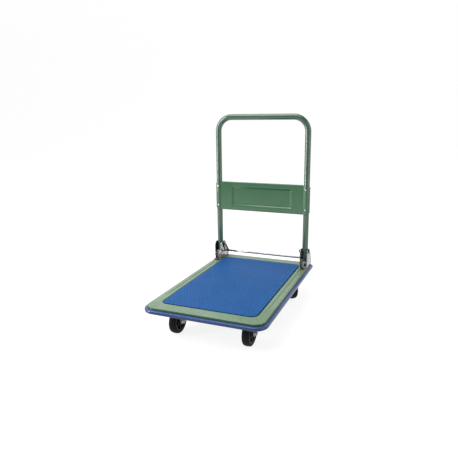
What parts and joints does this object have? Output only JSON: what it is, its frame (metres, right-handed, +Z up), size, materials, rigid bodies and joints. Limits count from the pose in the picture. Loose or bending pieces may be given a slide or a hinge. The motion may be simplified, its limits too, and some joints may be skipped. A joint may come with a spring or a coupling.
{
  "type": "folding platform cart",
  "caption": "Four-wheeled hand cart with a matted steel deck, an edge bumper and a tube push handle that folds flat over the deck",
  "frame": {"origin": "On the floor, at the centre of the cart's plan outline.", "axes": "+X to the cart's right, +Y toward the handle end, +Z up; the handle folds toward -Y."},
  "size_m": [0.48, 0.74, 0.8205],
  "materials": {
    "deck_paint": "semi-gloss sage green stove enamel",
    "handle_paint": "gloss mid-green enamel",
    "mat_vinyl": "matt blue vinyl with a pressed anti-slip grain",
    "bumper_vinyl": "satin blue soft vinyl",
    "zinc": "bright zinc plate",
    "chrome": "bright chrome plate",
    "dark_steel": "blackened steel",
    "tyre_rubber": "black moulded rubber",
    "black_plastic": "black moulded nylon"
  },
  "bodies": {
    "root": {"deck_plate": "deck_paint", "front_cross_member": "deck_paint", "rear_cross_member": "deck_paint", "deck_rails": "deck_paint", "deck_mat": "mat_vinyl", "bumper_strip": "bumper_vinyl", "hinge_bracket_left": "zinc", "hinge_bracket_right": "zinc", "bracket_backing_plates": "zinc", "bracket_bolts": "zinc", "bracket_nuts": "zinc", "caster_bolts": "zinc", "caster_nuts": "zinc", "pivot_bolt_left": "chrome", "pivot_bolt_right": "chrome", "pivot_nuts": "dark_steel", "release_spring_left": "chrome", "release_spring_right": "chrome", "front_fork_left": "zinc", "front_fork_right": "zinc", "front_axles": "zinc", "front_axle_nuts": "zinc", "front_axle_sleeves": "dark_steel", "rear_top_plate_left": "zinc", "rear_top_plate_right": "zinc", "rear_kingpin_left": "dark_steel", "rear_kingpin_right": "dark_steel", "rear_swivel_balls_left": "chrome", "rear_swivel_balls_right": "chrome"},
    "handle": {"handle_tube": "handle_paint", "cross_panel": "handle_paint", "panel_rivets": "chrome", "pivot_bushes": "dark_steel", "heel_plugs": "black_plastic"},
    "foot_release": {"release_bar": "chrome", "latch_plate_left": "zinc", "latch_plate_right": "zinc"},
    "front_wheel_left": {"front_tyre_left": "tyre_rubber", "front_wheel_core_left": "black_plastic", "front_bearing_left": "chrome"},
    "front_wheel_right": {"front_tyre_right": "tyre_rubber", "front_wheel_core_right": "black_plastic", "front_bearing_right": "chrome"},
    "rear_caster_left": {"rear_fork_left": "zinc", "rear_axle_left": "zinc", "rear_axle_nut_left": "zinc", "rear_axle_sleeve_left": "dark_steel"},
    "rear_wheel_left": {"rear_tyre_left": "tyre_rubber", "rear_wheel_core_left": "black_plastic", "rear_bearing_left": "chrome"},
    "rear_caster_right": {"rear_fork_right": "zinc", "rear_axle_right": "zinc", "rear_axle_nut_right": "zinc", "rear_axle_sleeve_right": "dark_steel"},
    "rear_wheel_right": {"rear_tyre_right": "tyre_rubber", "rear_wheel_core_right": "black_plastic", "rear_bearing_right": "chrome"}
  },
  "joints": [
    {"name": "handle_fold", "type": "hinge", "parent": "root", "child": "handle", "pos_m": [0, 0.2995, 0.206], "axis": [1, 0, 0], "range_deg": [0, 95]},
    {"name": "foot_release_press", "type": "slide", "parent": "root", "child": "foot_release", "axis": [0, 0, -1], "range_m": [0, 0.012], "stiffness_N_per_m": 1100, "springref_m": -0.02, "deforming": ["release_spring_left", "release_spring_right"]},
    {"name": "front_wheel_left_spin", "type": "hinge", "parent": "root", "child": "front_wheel_left", "pos_m": [-0.146, -0.256, 0.05], "axis": [1, 0, 0], "continuous": true},
    {"name": "front_wheel_right_spin", "type": "hinge", "parent": "root", "child": "front_wheel_right", "pos_m": [0.146, -0.256, 0.05], "axis": [1, 0, 0], "continuous": true},
    {"name": "rear_caster_left_swivel", "type": "hinge", "parent": "root", "child": "rear_caster_left", "pos_m": [-0.146, 0.256, 0.1], "axis": [0, 0, 1], "continuous": true},
    {"name": "rear_wheel_left_spin", "type": "hinge", "parent": "rear_caster_left", "child": "rear_wheel_left", "pos_m": [-0.12199, 0.22527, 0.05], "axis": [0.788, 0.6157, 0], "continuous": true},
    {"name": "rear_caster_right_swivel", "type": "hinge", "parent": "root", "child": "rear_caster_right", "pos_m": [0.146, 0.256, 0.1], "axis": [0, 0, 1], "continuous": true},
    {"name": "rear_wheel_right_spin", "type": "hinge", "parent": "rear_caster_right", "child": "rear_wheel_right", "pos_m": [0.17001, 0.22527, 0.05], "axis": [0.788, 0.6157, 0], "continuous": true}
  ]
}
